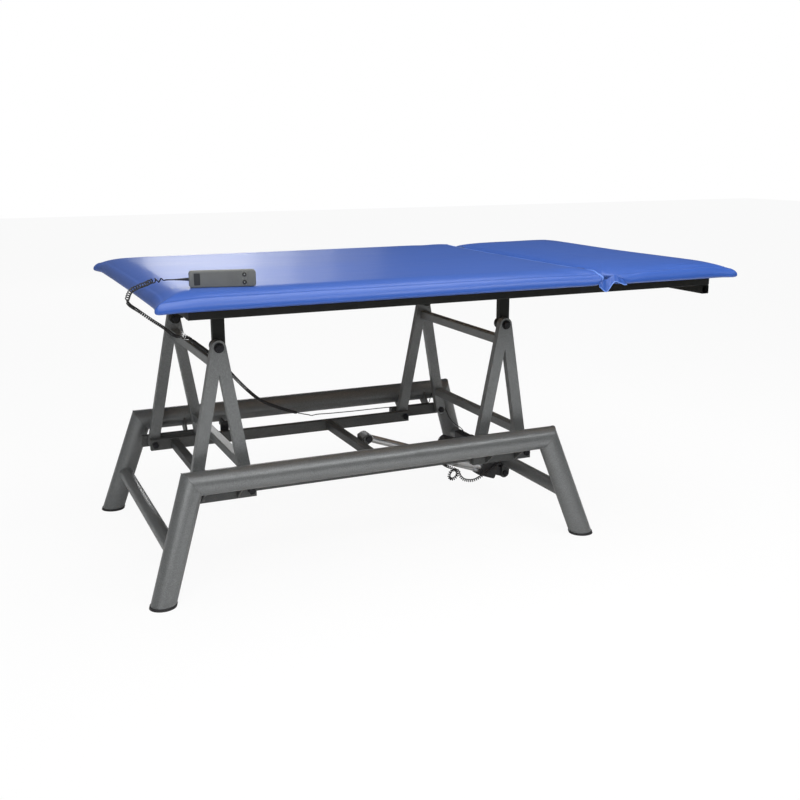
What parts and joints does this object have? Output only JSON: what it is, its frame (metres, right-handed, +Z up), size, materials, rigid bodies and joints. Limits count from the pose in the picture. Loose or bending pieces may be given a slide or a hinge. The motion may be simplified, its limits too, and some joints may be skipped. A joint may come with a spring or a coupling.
{
  "type": "bobath treatment table",
  "caption": "Wide padded treatment table that lifts on two A-shaped frames over a tubular base, with a tilting head section, an electric actuator and a corded handset.",
  "frame": {"origin": "on the floor, under the middle of the table's bounding box, cords left out", "axes": "+X along the bed towards the head section, +Y across the bed away from the handset, +Z up"},
  "size_m": [2.0552, 1.2, 1.0003],
  "materials": {
    "frame_paint": "anthracite hammered powder coat",
    "dark_paint": "dark grey powder coat",
    "bed_paint": "black powder coat",
    "black_bolts": "black oxide",
    "steel": "bright steel",
    "silver_tube": "satin anodised",
    "black_plastic": "moulded",
    "motor_black": "black painted casting, standing for the motor and gears inside",
    "vinyl": "royal blue vinyl-coated fabric with a soft sheen",
    "board": "birch plywood",
    "handset_plastic": "grey moulded plastic",
    "cord": "black jacket"
  },
  "bodies": {
    "base": {"side_tube_near": "frame_paint", "side_tube_far": "frame_paint", "leg_near_left": "frame_paint", "leg_near_right": "frame_paint", "leg_far_left": "frame_paint", "leg_far_right": "frame_paint", "foot_caps": "black_plastic", "lower_cross_tube_left": "frame_paint", "lower_cross_tube_right": "frame_paint", "pivot_rails": "dark_paint", "rail_hangers": "dark_paint", "cord_clips": "black_plastic", "fixed_pivot_bolts": "black_bolts", "rear_bracket": "dark_paint", "rear_pin": "black_bolts", "control_box": "black_plastic", "mains_inlet": "black_plastic", "cord_tail": "cord", "motor_lead": "cord"},
    "lift_left": {"lift_frame_near_left": "frame_paint", "lift_frame_far_left": "frame_paint", "cross_tubes_left": "frame_paint", "bushes_left": "steel", "curl_frame": "cord", "curl_span": "cord"},
    "lift_right": {"lift_frame_near_right": "frame_paint", "lift_frame_far_right": "frame_paint", "cross_tubes_right": "frame_paint", "bushes_right": "steel"},
    "tie_frame": {"tie_bar_near": "dark_paint", "tie_bar_far": "dark_paint", "tie_beams": "dark_paint", "actuator_ears": "dark_paint", "tie_bolts": "black_bolts", "front_pin": "black_bolts"},
    "actuator_rod": {"push_rod": "steel"},
    "actuator_body": {"guide_tube": "silver_tube", "guide_collar": "black_plastic", "gear_housing": "motor_black", "motor": "motor_black", "motor_curl": "cord"},
    "bed": {"bed_rail_near": "bed_paint", "bed_rail_far": "bed_paint", "bed_cross_rails": "bed_paint", "posts": "bed_paint", "apex_bolts": "black_bolts", "main_board": "board", "main_pad": "vinyl", "hinge_leaves_fixed": "bed_paint", "hinge_pins": "steel", "curl_drop": "cord"},
    "head_section": {"head_board": "board", "head_pad": "vinyl", "hinge_leaves_moving": "bed_paint"},
    "handset": {"handset_case": "handset_plastic", "handset_window": "black_plastic", "handset_lead": "cord", "curl_pad": "cord"},
    "up_button": {"button_up": "black_plastic"},
    "down_button": {"button_down": "black_plastic"}
  },
  "joints": [
    {"name": "lift", "type": "hinge", "parent": "base", "child": "lift_left", "pos_m": [-0.66742, 0, 0.288], "axis": [0, -1, 0], "range_deg": [0, 66], "deforming": ["curl_span"]},
    {"name": "lift_right", "type": "hinge", "parent": "base", "child": "lift_right", "pos_m": [0.33758, 0, 0.288], "axis": [0, -1, 0], "range_deg": [0, 66]},
    {"name": "bed_level", "type": "hinge", "parent": "lift_left", "child": "bed", "pos_m": [-0.74442, 0, 0.748], "axis": [0, 1, 0], "range_deg": [0, 66], "deforming": ["curl_drop"]},
    {"name": "tie_link", "type": "hinge", "parent": "lift_left", "child": "tie_frame", "pos_m": [-0.84342, 0, 0.285], "axis": [0, 1, 0], "range_deg": [0, 66]},
    {"name": "actuator_swing", "type": "hinge", "parent": "base", "child": "actuator_body", "pos_m": [0.44958, 0, 0.098], "axis": [0, -1, 0], "range_deg": [0, 15], "deforming": ["motor_curl"]},
    {"name": "rod_swing", "type": "hinge", "parent": "tie_frame", "child": "actuator_rod", "pos_m": [-0.12842, 0, 0.305], "axis": [0, -1, 0], "range_deg": [0, 15]},
    {"name": "head_tilt", "type": "hinge", "parent": "bed", "child": "head_section", "pos_m": [0.48958, 0, 0.935], "axis": [0, -1, 0], "range_deg": [0, 75]},
    {"name": "handset_lift", "type": "slide", "parent": "bed", "child": "handset", "axis": [0, 0, 1], "range_m": [0, 0.12], "deforming": ["curl_pad"]},
    {"name": "up_press", "type": "slide", "parent": "handset", "child": "up_button", "axis": [0.2079, 0.9781, 0], "range_m": [0, 0.001], "stiffness_N_per_m": 300, "springref_m": -0.0005},
    {"name": "down_press", "type": "slide", "parent": "handset", "child": "down_button", "axis": [0.2079, 0.9781, 0], "range_m": [0, 0.001], "stiffness_N_per_m": 300, "springref_m": -0.0005}
  ],
  "couplings": [
    {"joint": "lift_right", "follows": "lift", "ratio": 1},
    {"joint": "bed_level", "follows": "lift", "ratio": 1},
    {"joint": "tie_link", "follows": "lift", "ratio": 1},
    {"joint": "actuator_swing", "follows": "lift", "ratio": 0.224},
    {"joint": "rod_swing", "follows": "lift", "ratio": 0.224}
  ]
}
